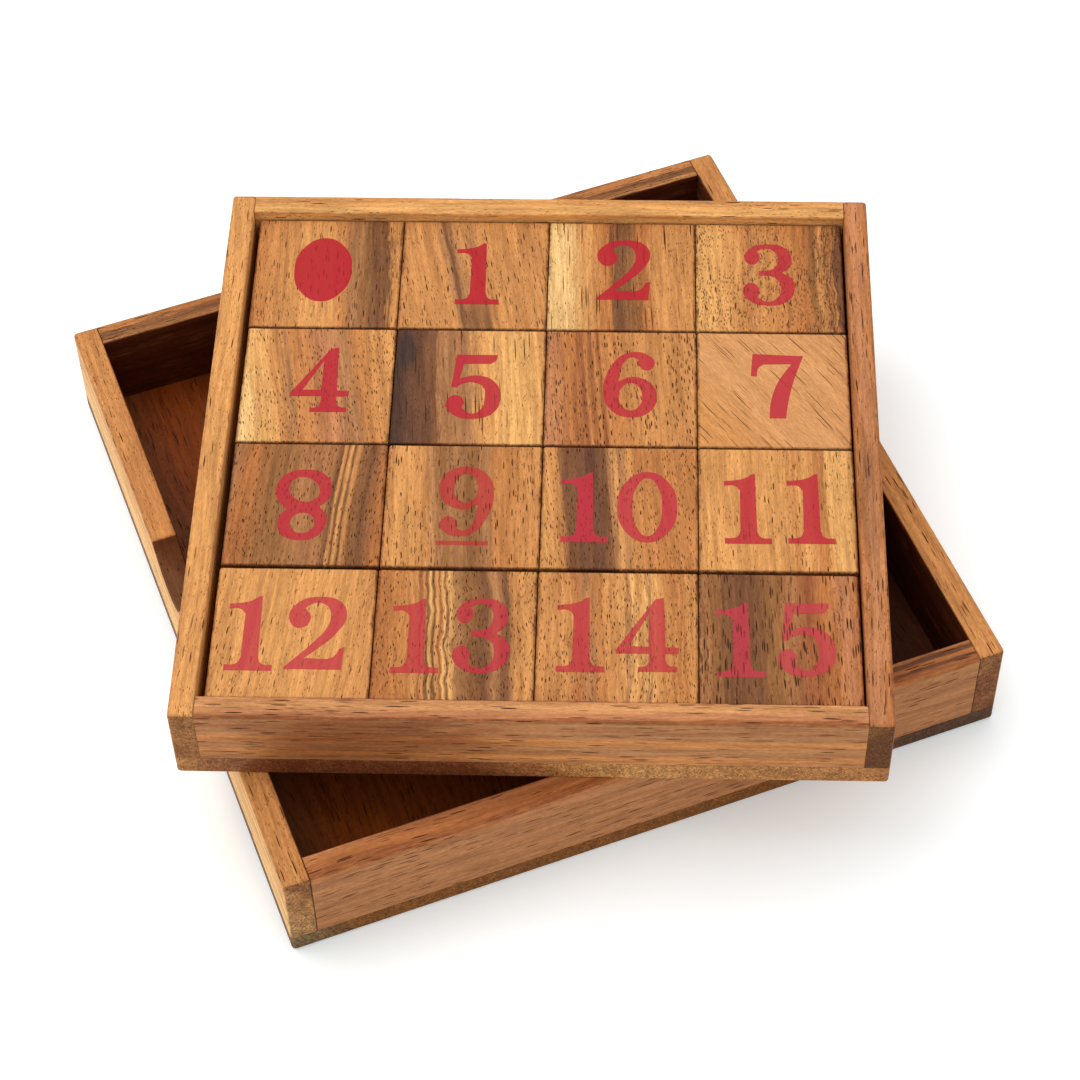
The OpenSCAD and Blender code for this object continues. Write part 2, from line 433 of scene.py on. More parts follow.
# %% Groups: end grain, darkened edges with painted shade, stains and painted shade
end_grain, ins, outs = new_group("end_grain", [("Turn", "Float", 0.0), ("Grain", "Vector", None)],
                                 [("Mask", "Float"), ("Figure", "Float")])
t = end_grain
facing = add(t, "ShaderNodeTexCoord").outputs["Normal"]
aligned = add(t, "ShaderNodeVectorRotate", {"Vector": facing, "Angle": ins["Turn"]},
              rotation_type="Z_AXIS")
along = add(t, "ShaderNodeSeparateXYZ", {0: aligned.outputs[0]}).outputs[1]
t.links.new(spread(t, sums(t, "ABSOLUTE", along), 0.35, 0.85, 0.0, 1.0), outs["Mask"])
slants = []
for angle in (0.75, -0.6):
    leaning = add(t, "ShaderNodeVectorRotate", {"Vector": ins["Grain"], "Angle": angle},
                  rotation_type="Y_AXIS")
    lines = add(t, "ShaderNodeTexNoise", {"Vector": stretched(t, leaning.outputs[0], (4.2, 0.1, 1.1)),
                                          "Scale": 1.0, "Detail": 2.0})
    slants.append(lines.outputs["Fac"])
crossed = sums(t, "MAXIMUM", slants[0], slants[1])
t.links.new(spread(t, crossed, 0.42, 0.70, 0.0, 1.0), outs["Figure"])

# Eased edges darkened: grime, on the tiles partly painted shade of the gaps between them; and painted
# shade on the notch's floor.
edge_grime_and_shade, ins, outs = new_group("edge_grime_and_shade", [("Place", "Vector", None)], [("Mask", "Float")])
t = edge_grime_and_shade
near = add(t, "ShaderNodeAttribute", attribute_name="edge").outputs["Fac"]
ragged = add(t, "ShaderNodeTexNoise", {"Vector": ins["Place"], "Scale": 420.0, "Detail": 3.0})
broken = spread(t, ragged.outputs["Fac"], 0.35, 0.7, 0.15, 1.0)
grime_and_shade = sums(t, "MULTIPLY", sums(t, "MINIMUM", near, 1.0), broken)
# Painted shade on the notch's floor, where the tray lies over it.
notch_shade = spread(t, near, 1.2, NOTCH_SHADE, 0.0, 2.5)
t.links.new(sums(t, "MAXIMUM", grime_and_shade, notch_shade), outs["Mask"])

# Soft dark ovals: stains of the wood, and patches of painted shade inside the lid and under the tray.
stain, ins, outs = new_group(
    "stain",
    [("Place", "Vector", None), ("Middle", "Vector", None), ("Reach", "Vector", None),
     ("Grain", "Vector", None)],
    [("Mask", "Float")])
t = stain
in_mm = add(t, "ShaderNodeVectorMath", {0: ins["Place"], "Scale": 1 / MM}, operation="SCALE").outputs[0]
gap = add(t, "ShaderNodeVectorMath", {0: in_mm, 1: ins["Middle"]}, operation="SUBTRACT").outputs[0]
flat = add(t, "ShaderNodeVectorMath", {0: gap, 1: ins["Reach"]}, operation="DIVIDE").outputs[0]
reach = add(t, "ShaderNodeVectorMath", {0: flat}, operation="LENGTH").outputs["Value"]
ragged = add(t, "ShaderNodeTexNoise", {"Vector": stretched(t, ins["Grain"], (0.55, 0.11, 0.55)),
                                       "Scale": 1.0, "Detail": 2.0})
reach = sums(t, "ADD", reach, sums(t, "MULTIPLY", sums(t, "SUBTRACT", ragged.outputs["Fac"], 0.5), 1.1))
t.links.new(spread(t, reach, 0.45, 1.15, 1.0, 0.0), outs["Mask"])
print("groups", end_grain.name, edge_grime_and_shade.name, stain.name, "are made")

# %% [markdown]
# ## The palette
# All the pieces come from one kind of timber, from pale sapwood to nearly black heartwood. Naming the
# tones once keeps the pieces related, and makes each plank a short list of names.

# %% Wood and ink tones
TONES = {
    "cream": "f7cb84", "straw": "ecb36a", "honey": "e2a35e", "tan": "d59555", "rose": "cb8a5a",
    "amber": "cb884b", "copper": "bf7a42", "fawn": "b47f50", "rust": "a46338", "olive": "99683a",
    "chestnut": "7e4122", "umber": "835735", "plum": "724a33", "sepia": "5e3e2c", "slate": "41342d",
    "russet": "934611", "nut": "b1794a", "sand": "d89c62", "cocoa": "5f321d", "pore": "3c1c0a",
    "shade_and_grime": "4a1c09", "red": "b01a29", "old red": "c43a50",
}


def tone(name):
    """Named tone as the linear colour that shaders take."""
    values = [int(TONES[name][k:k + 2], 16) / 255 for k in (0, 2, 4)]
    return [v / 12.92 if v <= 0.04045 else ((v + 0.055) / 1.055) ** 2.4 for v in values] + [1.0]


print(len(TONES), "tones")

# %% [markdown]
# ## One plank of wood
# Each piece gets its own plank. A colour ramp runs across the grain, with a few stops that are placed
# in mm. On a tile it runs from left to right. On a rail it runs up the outer side and on over the top,
# like a strip of paper folded over the edge, so both faces can be given their own streaks. Each later
# step multiplies or covers that colour: stains and patches of painted shade, broad shade, grit, end
# grain, edges darkened by grime and painted shade, ink, pores.

# %% Wood material
# The colours that broad shade and fine grit multiply the wood by, and the range on end grain.
BROAD_SHADES = ((1.12, 1.11, 1.14, 1.0), (0.57, 0.51, 0.49, 1.0))
FINE_SHADES = ((1.12, 1.12, 1.14, 1.0), (0.70, 0.62, 0.58, 1.0))
GRIT = 0.75
END_PALE = 1.5
END_DARK = 0.6
# How much of the wood fresh ink hides, and how deep pores show through it.
INK_COVER = 0.98
INK_PORES = 0.35


def plank(name, stops, turn=0.0, wander=0.5, curl=0.0, seed=0.0, fold=0.0, feather=3.2, streaks=0.8,
          pore=(2.0, 0.3, 0.3, 0.45), small=(3.0, 0.8, 0.34, 0.3), edge=0.35, stains=(),
          ends=(0.5, 0.45, 0.42), ink=None):
    """Wood material. fold adds the height to the ramp. ink is the wear and the fading of printed wood."""
    material = bpy.data.materials.new(name)
    material.use_nodes = True
    t = material.node_tree
    t.nodes.clear()
    spot = add(t, "ShaderNodeTexCoord").outputs["Object"]
    grain = use(t, grain_space, {"Place": spot, "Turn": math.radians(-turn), "Wander": wander,
                                 "Curl": curl, "Seed": seed})["Grain"]
    fibre = use(t, fibres, {"Grain": grain, "Seed": seed})
    axes = add(t, "ShaderNodeSeparateXYZ", {0: grain}).outputs
    across = sums(t, "ADD", axes[0], sums(t, "MULTIPLY", axes[2], fold))
    across = sums(t, "ADD", across, sums(t, "MULTIPLY", fibre["Feather"], 2 * feather))
    low = stops[0][0]
    high = stops[-1][0]
    share = sums(t, "DIVIDE", sums(t, "SUBTRACT", across, low), high - low)
    ramp = add(t, "ShaderNodeValToRGB", {0: share})
    bar = ramp.color_ramp
    bar.interpolation = "EASE"
    bar.elements[0].color = tone(stops[0][1])
    bar.elements[1].color = tone(stops[-1][1])
    for where, label in stops[1:-1]:
        bar.elements.new((where - low) / (high - low)).color = tone(label)
    colour = ramp.outputs["Color"]
    # Stains of the wood, and patches of painted shade inside the lid and under the tray.
    for x, y, wide, long, label, strength, *upright in stains:
        z, tall = upright or (0.0, 60.0)
        mask = use(t, stain, {"Place": spot, "Middle": (x, y, z), "Reach": (wide, long, tall),
                              "Grain": grain})["Mask"]
        colour = blend(t, sums(t, "MULTIPLY", mask, strength), colour, tone(label))
    shade = blend(t, fibre["Broad"], *BROAD_SHADES)
    colour = blend(t, streaks, colour, shade, "MULTIPLY")
    speck = blend(t, fibre["Fine"], *FINE_SHADES)
    colour = blend(t, GRIT, colour, speck, "MULTIPLY")
    long_pores = use(t, pores, {"Grain": grain, "Across": pore[0], "Along": pore[1], "Width": pore[2],
                                "Share": pore[3], "Seed": seed})["Mask"]
    short_pores = use(t, pores, {"Grain": grain, "Across": small[0], "Along": small[1], "Width": small[2],
                                 "Share": small[3], "Seed": seed + 3.0})["Mask"]
    cut = sums(t, "MAXIMUM", long_pores, sums(t, "MULTIPLY", short_pores, 0.7))
    end = use(t, end_grain, {"Turn": math.radians(-turn), "Grain": grain})
    dark_end = [END_DARK * c for c in ends] + [1.0]
    pale_end = [END_PALE * c for c in ends] + [1.0]
    figure = blend(t, end["Figure"], dark_end, pale_end)
    colour = blend(t, end["Mask"], colour, figure, "MULTIPLY")
    # Darkened eased edges (grime, on the tiles partly painted shade of the gaps) and painted shade on the
    # notch's floor.
    grime_and_shade = use(t, edge_grime_and_shade, {"Place": spot})["Mask"]
    colour = blend(t, sums(t, "MULTIPLY", grime_and_shade, edge), colour, tone("shade_and_grime"))
    pore_depth = 1.0
    if ink:
        wear, fading = ink
        bare = sums(t, "MULTIPLY", sums(t, "ADD", fibre["Fine"], 0.4), wear)
        red = [fresh + (old - fresh) * fading for fresh, old in zip(tone("red"), tone("old red"))]
        colour = blend(t, sums(t, "SUBTRACT", INK_COVER, bare, clamp=True), colour, red)
        pore_depth = INK_PORES + 1.4 * wear
    colour = blend(t, sums(t, "MULTIPLY", cut, pore_depth), colour, tone("pore"))
    rough = sums(t, "ADD", sums(t, "MULTIPLY", cut, 0.3), sums(t, "MULTIPLY", fibre["Fine"], 0.12))
    rough = sums(t, "ADD", rough, 0.5)
    height = sums(t, "SUBTRACT", sums(t, "MULTIPLY", fibre["Fine"], -0.15), cut)
    bump = add(t, "ShaderNodeBump", {"Strength": 0.35, "Distance": 0.00012, "Height": height})
    shader = add(t, "ShaderNodeBsdfPrincipled", {"Base Color": colour, "Roughness": rough,
                                                 "Normal": bump.outputs[0], "IOR": 1.45,
                                                 "Specular IOR Level": 0.14})
    add(t, "ShaderNodeOutputMaterial", {0: shader.outputs[0]})
    material.diffuse_color = tone(stops[len(stops) // 2][1])
    return material


# %% [markdown]
# ## The boxes' boards
# Each box stands on a thin board that reaches to the outside of its rails. Its grain runs from front to
# back, so its front edge is end grain, and that is why it looks so dark.

# %% Make the two boards
# Pores, as cells per mm across and along, width in cells, and the share of cells that hold one.
SPARSE = (1.4, 0.12, 0.24, 0.5)
LINES = (1.7, 0.13, 0.28, 0.9)
THREADS = (1.5, 0.035, 0.17, 0.7)
SLIGHT = 0.12
CORNER = 0.8
EDGE = 0.5


def make_board(node, body, slot, seed, stops, **wood):
    """A board, eased along its underside and at its upright corners."""
    middle, turn, size = measure(node)
    mesh = block(node, size, (EDGE, EDGE, SLIGHT, SLIGHT), (CORNER, CORNER), EDGE, SLIGHT, seed, pitch=3.5)
    place(node + "_wood", mesh, node, body, middle, turn,
          plank(node + "_plank", stops, seed=seed, **wood))


make_board("lid_board", "lid", "lid_board_wood", 1.0,
           [(-77, "umber"), (-60, "russet"), (40, "russet"), (60, "cocoa"), (77, "cocoa")],
           wander=1.0, pore=LINES, ends=(0.82, 1.45, 1.7))
make_board("tray_board", "tray", "tray_board_wood", 2.0,
           [(-70, "amber"), (-62, "rust"), (-52, "chestnut"), (-14, "chestnut"), (-2, "rust"),
            (10, "amber"), (70, "copper")],
           wander=1.0, ends=(0.95, 1.13, 1.15))

# %% [markdown]
# ## The rails
# Four rails stand on each board. The left and right ones run the whole depth and show their end grain at
# the front, and the other two are glued between them. Outer rims and upright corners are well rounded,
# the joints only just eased, which leaves the fine dark line that a glued joint has.
#
# In the lid's two side rails a shallow arc is cut for the thumb. Its circle is found from three points
# of the frame's rail.

# %% Find the thumb notch


def notch_circle(node, quarters):
    """Middle (along and up) and radius, in mm, of the thumb notch in a rail, about the rail's middle."""
    middle, turn, size = measure(node, quarters)
    back = Matrix.Rotation(-turn, 3, "Z")
    points = []
    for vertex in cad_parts[node].data.vertices:
        p = back @ (vertex.co - middle) / MM
        if abs(p.y) < size.y / 2 - 5 and -size.z / 2 + 1 < p.z < size.z / 2 - 0.5:
            points.append((p.y, p.z))
    points.sort()
    (ay, az), (by, bz), (cy, cz) = points[0], points[len(points) // 2], points[-1]
    d = 2 * (ay * (bz - cz) + by * (cz - az) + cy * (az - bz))
    sa, sb, sc = ay ** 2 + az ** 2, by ** 2 + bz ** 2, cy ** 2 + cz ** 2
    y = (sa * (bz - cz) + sb * (cz - az) + sc * (az - bz)) / d
    z = (sa * (cy - by) + sb * (ay - cy) + sc * (by - ay)) / d
    return y, z, math.hypot(ay - y, az - z)


notch_y, notch_z, notch_r = notch_circle("lid_left_rail", 0)
print("thumb notch: middle", round(notch_y, 2), round(notch_z, 2), "radius", round(notch_r, 2))

# %% [markdown]
# A rail is the same sweep as a board. On a notched one, the height of the rim comes from the notch's
# circle, with its two ends softened, and the stations lie closer together there. The lid's rails get
# painted shade along their whole inner face: a near-black brown for the shade inside the box under the
# tray. On the lid's front rail, a rust patch left of its middle is a painted shadow of the tray.

# %% Make the eight rails
SIDES = {"left_rail": 0, "front_rail": 1, "right_rail": 2, "back_rail": 3}
NOTCH_STEP = 0.4
SOFT_REACH = 0.4
SOFT_DROP = 0.1
INNER_RIM = 0.35


def make_rail(box, side, seed, stops, notched=False, **wood):
    """One rail of a box, with its outer side on its own -X."""
    node = box + "_" + side
    quarters = SIDES[side]
    middle, turn, size = measure(node, quarters)
    whole = quarters % 2 == 0
    top = None
    fine = ()
    if notched:
        y0, z0, radius = notch_circle(node, quarters)
        reach = math.sqrt(radius ** 2 - (size.z / 2 - z0) ** 2)

        def top(y, rim):
            """Height of the rim: the arc where the notch is, with softened ends."""
            if abs(y - y0) >= radius:
                return rim
            arc = z0 - math.sqrt(radius ** 2 - (y - y0) ** 2)
            soft = max(0.0, SOFT_REACH - abs(rim - arc)) / SOFT_REACH
            return min(rim, arc) - SOFT_DROP * soft * soft

        fine = [(y0 - reach - 2 * NOTCH_STEP, y0 + reach + 2 * NOTCH_STEP, NOTCH_STEP)]
    sides = (CORNER, SLIGHT) if whole else (SLIGHT, SLIGHT)
    rim_end = EDGE if whole else SLIGHT
    mesh = block(node, size, (SLIGHT, SLIGHT, INNER_RIM, EDGE), sides, SLIGHT, rim_end, seed, top=top,
                 fine=fine)
    place(node + "_wood", mesh, node, box, middle, turn,
          plank(node + "_plank", stops, seed=seed, fold=1.0, **wood))


make_rail("tray", "left_rail", 11.0, [(-10, "tan"), (-2, "honey"), (10, "honey")], pore=SPARSE)
make_rail("tray", "front_rail", 12.0,
          [(-10, "fawn"), (-7, "amber"), (-5, "fawn"), (-2, "amber"), (0, "fawn"), (2, "nut"),
           (4, "fawn"), (5, "rust"), (6, "rose"), (8, "sand"), (10, "rose")],
          stains=((-3.5, 32, 4, 32, "chestnut", 0.6, 0, 10),), pore=LINES, small=THREADS, feather=1.2)
make_rail("tray", "right_rail", 13.0,
          [(-10, "rust"), (3, "rust"), (5, "copper"), (6.5, "rose"), (8, "rose"), (10, "copper")],
          stains=((0.5, 14, 2.5, 18, "umber", 0.5),), pore=LINES, ends=(0.38, 0.40, 0.22))
make_rail("tray", "back_rail", 14.0,
          [(-10, "amber"), (4, "tan"), (6, "honey"), (8, "straw"), (10, "honey")], pore=SPARSE)
# Painted shade: a near-black brown along the inner faces of the lid's rails, for the shade in the box
# under the tray.
PAINTED_SHADE_INSIDE = (2.95, 0, 0.5, 400, "shade_and_grime", 0.92, 0, 90)
make_rail("lid", "left_rail", 21.0,
          [(-13, "cream"), (5, "straw"), (7, "tan"), (10, "tan"), (13, "amber")],
          stains=(PAINTED_SHADE_INSIDE,), notched=True, pore=SPARSE)
# The rust patch at 35 mm on this rail is a painted shadow of the tray lying over it; the plum and sepia
# lines at its end are the wood's own streaks.
make_rail("lid", "front_rail", 22.0,
          [(-13, "nut"), (5, "nut"), (6, "copper"), (7, "rust"), (10, "copper"), (13, "rose")],
          stains=(PAINTED_SHADE_INSIDE, (1.3, -60, 0.8, 18, "plum", 0.9, 9, 4),
                  (-0.7, -62, 0.6, 12, "sepia", 0.8, 9, 4), (2, 35, 4, 25, "rust", 0.5)), pore=LINES,
          small=THREADS)
make_rail("lid", "right_rail", 23.0,
          [(-13, "copper"), (5, "copper"), (7, "tan"), (13, "tan")],
          stains=(PAINTED_SHADE_INSIDE,), notched=True, pore=LINES, small=THREADS, ends=(0.44, 0.42, 0.36))
make_rail("lid", "back_rail", 24.0,
          [(-13, "copper"), (6, "rust"), (8, "amber"), (10, "umber"), (13, "tan")],
          stains=(PAINTED_SHADE_INSIDE,), pore=LINES)
print("eight rails")

# %% [markdown]
# ## The tiles
# Each tile was sawn from a different place in the plank, so no two look alike. The list gives each one
# its streaks from left to right in mm, how far its grain is turned in degrees, and what pores it shows.

# %% The tiles' planks
DENSE = (2.1, 0.46, 0.29, 1.0)
LONG = (1.5, 0.055, 0.22, 1.0)
FEW = (1.7, 0.22, 0.26, 0.3)
PLAIN = (1.8, 0.24, 0.3, 0.6)

TILES = {
    "tile_dot": dict(
        stops=[(-16, "amber"), (-8, "tan"), (-2, "honey"), (2, "tan"), (3, "amber"), (6, "fawn"),
               (8.5, "olive"), (10, "umber"), (13, "umber"), (14.5, "tan"), (16, "tan")],
        turn=2, pore=PLAIN),
    "tile_1": dict(
        stops=[(-16, "tan"), (-6, "tan"), (-4.6, "fawn"), (-3.8, "umber"), (-2.8, "fawn"), (0, "tan"),
               (1.2, "fawn"), (2.5, "tan"), (16, "tan")],
        turn=10, pore=PLAIN, feather=1.3, stains=((1.5, -13, 4, 8, "umber", 0.7),)),
    "tile_2": dict(
        stops=[(-16, "cream"), (-12, "cream"), (-7.5, "honey"), (-2.5, "copper"), (-1, "umber"),
               (1, "umber"), (3, "olive"), (5.5, "copper"), (8, "tan"), (16, "tan")],
        turn=2, pore=LONG, feather=4.5),
    "tile_3": dict(
        stops=[(-16, "straw"), (-8, "honey"), (-5, "amber"), (-4.2, "fawn"), (-3.4, "tan"),
               (3, "amber"), (7, "copper"), (10, "olive"), (12, "tan"), (13, "umber"), (14, "amber"),
               (15, "plum"), (16, "umber")],
        turn=2, curl=0.5, pore=PLAIN, small=(2.3, 0.9, 0.42, 0.7)),
    "tile_4": dict(
        stops=[(-16, "cream"), (-12, "straw"), (-7.5, "tan"), (-6, "fawn"), (-4.5, "amber"),
               (4, "rose"), (7, "fawn"), (10, "amber"), (13, "tan"), (16, "honey")],
        turn=8, pore=DENSE),
    "tile_5": dict(
        stops=[(-16, "slate"), (-14, "sepia"), (-10.5, "plum"), (-7.5, "umber"), (-6, "fawn"),
               (0, "fawn"), (2, "honey"), (8, "straw"), (13, "straw"), (16, "honey")],
        turn=3, pore=LONG, stains=((-14, 10, 3, 6, "slate", 0.8),)),
    "tile_6": dict(
        stops=[(-16, "rose"), (-10, "copper"), (-7.6, "rust"), (-6.9, "amber"), (-5.7, "rust"),
               (-5, "amber"), (-4, "rust"), (-3, "amber"), (0, "amber"), (3, "tan"), (16, "tan")],
        turn=4, pore=(2.0, 0.4, 0.36, 0.75), feather=1.0),
    "tile_7": dict(
        stops=[(-16, "tan"), (-6, "sand"), (16, "sand")],
        turn=38, pore=(1.8, 0.05, 0.22, 1.0), small=(1.6, 0.07, 0.2, 0.9), streaks=0.4),
    "tile_8": dict(
        stops=[(-16, "fawn"), (-13, "copper"), (-7, "olive"), (-1, "nut"), (4, "nut"), (5.6, "umber"),
               (6.2, "tan"), (6.9, "umber"), (7.7, "honey"), (8.3, "umber"), (9, "tan"), (10, "olive"),
               (12, "umber"), (16, "copper")],
        turn=-4, pore=DENSE, feather=0.7),
    "tile_9": dict(
        stops=[(-16, "tan"), (-12, "honey"), (-8, "tan"), (-5.5, "fawn"), (-4, "olive"), (-1, "fawn"),
               (2, "olive"), (5, "fawn"), (7, "amber"), (16, "tan")],
        turn=2, pore=PLAIN),
    "tile_10": dict(
        stops=[(-16, "honey"), (-12.5, "tan"), (-10.5, "umber"), (-4, "plum"), (-2, "umber"),
               (-0.8, "fawn"), (0.2, "honey"), (1.2, "fawn"), (2.4, "tan"), (5, "amber"),
               (16, "amber")],
        turn=5, pore=DENSE, feather=1.8),
    "tile_11": dict(
        stops=[(-16, "honey"), (2, "honey"), (4, "amber"), (5, "honey"), (9, "amber"), (11, "straw"),
               (16, "straw")],
        turn=1, pore=FEW),
    "tile_12": dict(
        stops=[(-16, "honey"), (-2, "honey"), (6, "honey"), (16, "tan")],
        turn=-6, pore=FEW),
    "tile_13": dict(
        stops=[(-16, "copper"), (-10, "amber"), (-7.5, "tan"), (-6.8, "rust"), (-6.1, "tan"),
               (-5.3, "umber"), (-4.6, "straw"), (-3.9, "umber"), (-3.2, "honey"), (-2.5, "rust"),
               (-1.9, "straw"), (-1.2, "umber"), (-0.5, "straw"), (0.5, "fawn"), (3, "olive"),
               (6, "umber"), (8, "fawn"), (10, "umber"), (12, "tan"), (16, "honey")],
        turn=3, curl=0.6, pore=DENSE, feather=0.7),
    "tile_14": dict(
        stops=[(-16, "tan"), (-10, "tan"), (-8, "copper"), (-5.5, "fawn"), (-4, "amber"), (-1, "tan"),
               (1, "honey"), (2.2, "fawn"), (3.2, "straw"), (4, "tan"), (5, "straw"), (6, "fawn"),
               (7, "straw"), (8, "tan"), (12, "amber"), (16, "tan")],
        turn=2, curl=0.4, pore=DENSE),
    "tile_15": dict(
        stops=[(-16, "nut"), (-12.5, "olive"), (-11, "umber"), (-4, "umber"), (-1, "olive"), (3, "nut"),
               (6, "rust"), (10, "copper"), (13, "rose"), (16, "copper")],
        turn=2, pore=(2.0, 0.22, 0.38, 0.9)),
}

# %% [markdown]
# A tile is the smallest sweep, rounded alike on all its edges, a little unevenly. It is made a hair
# lower than its node, so that its underside never lies exactly in the plane of the board below it.

# %% Make the sixteen tiles
TILE_EASE = 0.45
HAIR = Vector((0.0, 0.0, 0.04))
places = {}
for k, (node, wood) in enumerate(TILES.items()):
    middle, turn, size = measure(node)
    size -= HAIR
    seed = 31.0 + k
    mesh = block(node, size, (TILE_EASE,) * 4, (TILE_EASE,) * 2, TILE_EASE, TILE_EASE, seed, pitch=1.8,
                 uneven=0.5)
    # The tiles' edges are darkened more than the rails' (edge=0.8): grime, and partly painted shade of the
    # gaps between the tiles.
    place(node + "_wood", mesh, node, node, middle, turn,
          plank(node + "_plank", seed=seed, edge=0.8, **wood))
    places[node] = (middle, turn, size, seed)
print(len(places), "tiles, each", [round(s, 2) for s in size], "mm")

# %% [markdown]
# ## The printed numerals
# The numerals are in a bold book face with ball ends, stamped in red. Blender's own font has no such
# shapes, so each is drawn as a flat closed curve. A point marked with SOFT is passed through smoothly,
# and the others are corners. A flat curve fills itself and leaves the inner outlines open, as ink does.

# %% Outlines of the numerals, in mm from the lower left corner
SOFT = 1


def oval(x, y, rx, ry, lean=0.0):
    """Closed oval of eight soft points, leaning to the right by lean mm at its top."""
    ring = []
    for k in range(8):
        angle = k * math.pi / 4
        rise = ry * math.sin(angle)
        ring.append((x + rx * math.cos(angle) + lean * rise / ry, y + rise, SOFT))
    return ring


SIX = [
    [(0, 7.9, SOFT), (1.4, 13.6, SOFT), (3.7, 17.1, SOFT), (6.4, 18.2, SOFT), (9.5, 17.3, SOFT),
     (10.8, 14.9, SOFT), (9.0, 13.05, SOFT), (7.25, 15.0, SOFT), (7.3, 16.1), (6.0, 16.7, SOFT),
     (4.5, 15.6, SOFT), (3.5, 12.6, SOFT), (3.15, 9.9), (6.4, 11.2, SOFT), (10.0, 9.4, SOFT),
     (11.25, 5.5, SOFT), (9.7, 1.5, SOFT), (5.6, 0, SOFT), (1.6, 2.0, SOFT)],
    oval(5.75, 5.7, 2.45, 3.8),
]

FIGURES = {
    "dot": [oval(6.25, 9.4, 6.25, 9.4)],
    "0": [oval(6.1, 9.2, 6.1, 9.18), oval(6.1, 9.2, 3.0, 7.55)],
    "1": [
        [(0.1, 0), (9.6, 0), (9.55, 1.4), (7.4, 1.7, SOFT), (6.65, 3.2), (6.4, 18.15), (5.7, 18.05),
         (4.5, 17.1, SOFT), (2.6, 16.5, SOFT), (0, 16.2), (0.05, 15.0), (2.2, 15.0, SOFT), (3.3, 13.8),
         (3.25, 3.2), (2.5, 1.7, SOFT), (0.1, 1.4)],
    ],
    "2": [
        [(0.18, 12.6, SOFT), (1.9, 16.4, SOFT), (6.25, 17.75, SOFT), (10.2, 16.6, SOFT),
         (11.6, 13.25, SOFT), (9.8, 8.85, SOFT), (6.9, 5.6, SOFT), (3.85, 2.75), (8.45, 2.6),
         (9.8, 3.3, SOFT), (10.6, 5.0), (11.6, 5.5), (11.3, 0.05), (0, 0.05), (0, 0.5),
         (6.0, 7.3, SOFT), (7.9, 10.2, SOFT), (8.45, 12.8, SOFT), (7.7, 15.4, SOFT), (5.9, 16.3, SOFT),
         (4.3, 15.9, SOFT), (3.3, 14.9), (4.5, 12.5, SOFT), (2.4, 10.0, SOFT)],
    ],
    "3": [
        [(0.5, 13.8, SOFT), (1.9, 17.0, SOFT), (5.5, 18.15, SOFT), (9.4, 17.0, SOFT),
         (10.7, 13.8, SOFT), (10.0, 11.0, SOFT), (8.5, 9.7), (10.6, 8.0, SOFT), (11.2, 5.3, SOFT),
         (9.6, 1.4, SOFT), (5.5, 0, SOFT), (1.5, 1.3, SOFT), (0, 4.7, SOFT), (1.9, 6.6, SOFT),
         (3.5, 4.6, SOFT), (3.1, 2.3), (5.5, 1.15, SOFT), (7.5, 2.5, SOFT), (8.2, 5.6, SOFT),
         (6.9, 8.2, SOFT), (3.5, 8.85), (3.5, 10.15), (6.7, 10.9, SOFT), (7.8, 13.8, SOFT),
         (6.9, 16.1, SOFT), (4.9, 16.8, SOFT), (3.2, 16.0), (3.8, 14.2, SOFT), (2.1, 12.05, SOFT)],
    ],
    "4": [
        [(7.8, 17.7), (9.45, 18.05), (9.8, 6.0), (12.4, 5.9), (12.3, 4.4), (9.75, 4.3), (9.75, 2.8),
         (10.5, 1.6, SOFT), (12.1, 1.3), (12.1, 0.05), (4.4, 0), (4.4, 1.15), (6.0, 1.5, SOFT),
         (6.6, 2.8), (6.6, 4.35), (0.05, 4.3), (0, 5.2)],
        [(6.5, 14.2), (6.5, 6.1), (2.55, 6.1)],
    ],
    "5": [
        [(1.75, 17.8), (10.5, 17.8), (10.1, 16.2, SOFT), (9.1, 15.3), (3.4, 15.2), (2.6, 11.1),
         (6.3, 12.0, SOFT), (9.9, 10.4, SOFT), (11.4, 5.85, SOFT), (9.9, 1.6, SOFT), (5.6, 0, SOFT),
         (1.4, 1.3, SOFT), (0.1, 4.6, SOFT), (1.85, 6.5, SOFT), (3.7, 5.0, SOFT), (3.3, 3.0),
         (5.6, 1.4, SOFT), (7.5, 2.8, SOFT), (8.1, 5.9, SOFT), (7.6, 8.9, SOFT), (5.6, 10.05, SOFT),
         (3.2, 9.6, SOFT), (1.9, 8.6), (0.95, 8.7)],
    ],
    "6": SIX,
    "7": [
        [(0.65, 17.8), (11.35, 17.35), (9.2, 10.4, SOFT), (7.9, 4.3, SOFT), (7.35, 0), (3.95, 0),
         (4.25, 4.3, SOFT), (5.9, 10.0, SOFT), (8.8, 15.05), (2.9, 14.9), (1.8, 13.8, SOFT),
         (1.45, 11.5), (0.2, 11.6)],
    ],
    "8": [
        [(5.9, 18.4, SOFT), (10.0, 17.0, SOFT), (11.5, 13.25, SOFT), (10.6, 10.2, SOFT), (9.1, 8.7),
         (10.5, 7.0, SOFT), (10.9, 4.75, SOFT), (9.4, 1.3, SOFT), (5.9, 0, SOFT), (2.2, 1.2, SOFT),
         (1.0, 4.1, SOFT), (1.5, 6.5, SOFT), (2.6, 8.0), (0.7, 10.2, SOFT), (0, 12.9, SOFT),
         (1.6, 16.9, SOFT)],
        oval(5.8, 13.2, 3.15, 3.25, -0.5),
        oval(6.0, 4.45, 2.5, 2.65),
    ],
    "9": [[(11.3 - x, 18.2 - y, *mark) for x, y, *mark in ring] for ring in SIX],
    "bar": [
        [(0, 0), (10.5, 0), (10.5, 1.0), (0, 1.0)],
    ],
}
print(len(FIGURES), "figures")

# %% [markdown]
# ## Printing them
# The ink is a film of a few hundredths of a millimetre. It lies on the tile and uses the tile's own
# plank with red mixed in, so streaks and pores run on beneath the print and break it where they are deep.

